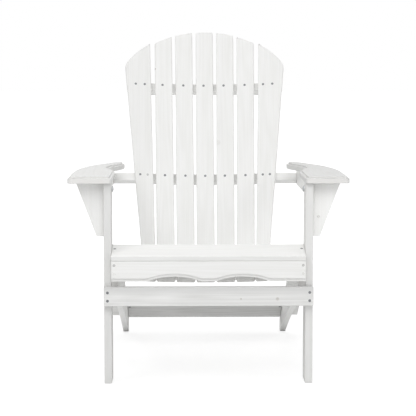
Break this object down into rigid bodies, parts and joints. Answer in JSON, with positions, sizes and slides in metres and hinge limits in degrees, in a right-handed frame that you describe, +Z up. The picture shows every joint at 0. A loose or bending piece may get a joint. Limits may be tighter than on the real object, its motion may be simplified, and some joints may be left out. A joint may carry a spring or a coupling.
{
  "type": "adirondack chair",
  "caption": "Low outdoor armchair of painted boards with a reclined fan back, a sloping slatted seat and wide flat arms.",
  "frame": {"origin": "centre of the footprint, on the ground", "axes": "+X to the right seen from the front, -Y the way the sitter faces, +Z up"},
  "size_m": [0.72, 0.8378, 0.9134],
  "materials": {
    "timber": "softwood boards under satin white paint",
    "zinc": "zinc-plated steel"
  },
  "bodies": {
    "root": {"apron": "timber", "arm_bolt_left": "zinc", "arm_bolt_nut_left": "zinc", "arm_bolt_nut_right": "zinc", "arm_bolt_right": "zinc", "arm_bolt_washer_left": "zinc", "arm_bolt_washer_right": "zinc", "arm_bracket_left": "timber", "arm_bracket_right": "timber", "arm_left": "timber", "arm_rail_left": "timber", "arm_rail_right": "timber", "arm_right": "timber", "back_middle_left_screw": "zinc", "back_middle_left_washer": "zinc", "back_middle_right_screw": "zinc", "back_middle_right_washer": "zinc", "back_slat_1": "timber", "back_slat_2": "timber", "back_slat_3": "timber", "back_slat_4": "timber", "back_slat_5": "timber", "back_slat_6": "timber", "back_slat_7": "timber", "front_leg_left": "timber", "front_leg_right": "timber", "front_seat_slat": "timber", "front_stretcher": "timber", "heel_tie": "timber", "leg_lower_left_screw": "zinc", "leg_lower_left_washer": "zinc", "leg_lower_right_screw": "zinc", "leg_lower_right_washer": "zinc", "leg_upper_left_screw": "zinc", "leg_upper_left_washer": "zinc", "leg_upper_right_screw": "zinc", "leg_upper_right_washer": "zinc", "lower_back_rail": "timber", "middle_back_rail": "timber", "seat_slat_1": "timber", "seat_slat_2": "timber", "seat_slat_3": "timber", "seat_slat_4": "timber", "seat_slat_5": "timber", "side_rail_left": "timber", "side_rail_right": "timber", "top_back_rail": "timber"}
  },
  "joints": []
}
